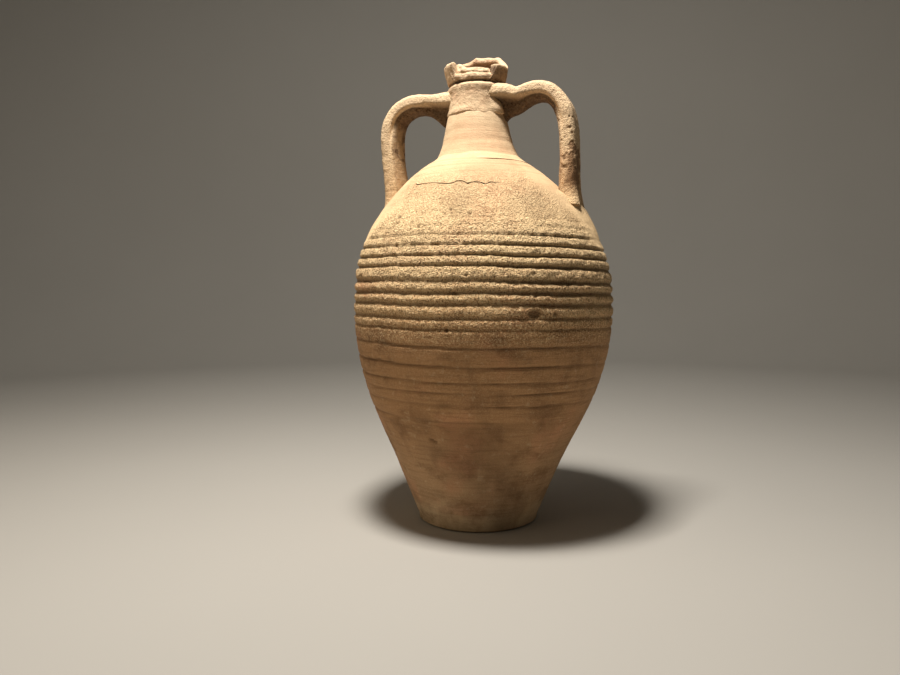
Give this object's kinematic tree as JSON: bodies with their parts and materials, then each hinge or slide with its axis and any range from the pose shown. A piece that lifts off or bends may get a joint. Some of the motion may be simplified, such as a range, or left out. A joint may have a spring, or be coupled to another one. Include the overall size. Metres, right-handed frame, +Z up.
{
  "type": "amphora",
  "caption": "Flat-based two-handled fired-clay storage jar with a ribbed belly, narrow neck and worn, chipped mouth.",
  "frame": {"origin": "centre of the flat underside the jar stands on", "axes": "+Z up along the jar's axis, out of the mouth; the two handles stand on +X and -X"},
  "size_m": [0.2606, 0.2606, 0.4697],
  "materials": {
    "foot_clay": "unglazed fired clay, matte, darkened and worn where the jar stands",
    "wall_clay": "unglazed fired clay, matte, smoothed, with fine drag lines",
    "belly_clay": "unglazed fired clay, matte, sandy and pitted, with throwing grooves",
    "shoulder_clay": "unglazed fired clay, matte, pale, with a few incised lines",
    "neck_clay": "unglazed fired clay, matte, wiped smooth",
    "luting_clay": "unglazed fired clay, matte, hand smeared",
    "collar_clay": "unglazed fired clay, matte, pinkish, hand pressed",
    "rim_clay": "unglazed fired clay, matte, worn and chipped",
    "handle_clay": "unglazed fired clay, matte, sandy, spalled on the outside of one handle"
  },
  "bodies": {
    "root": {"base_disc": "foot_clay", "lower_wall": "wall_clay", "ribbed_belly": "belly_clay", "shoulder": "shoulder_clay", "neck": "neck_clay", "neck_coil": "luting_clay", "handle_collar": "collar_clay", "rim": "rim_clay", "right_handle": "handle_clay", "left_handle": "handle_clay", "right_handle_pad": "luting_clay", "left_handle_pad": "luting_clay"}
  },
  "joints": []
}
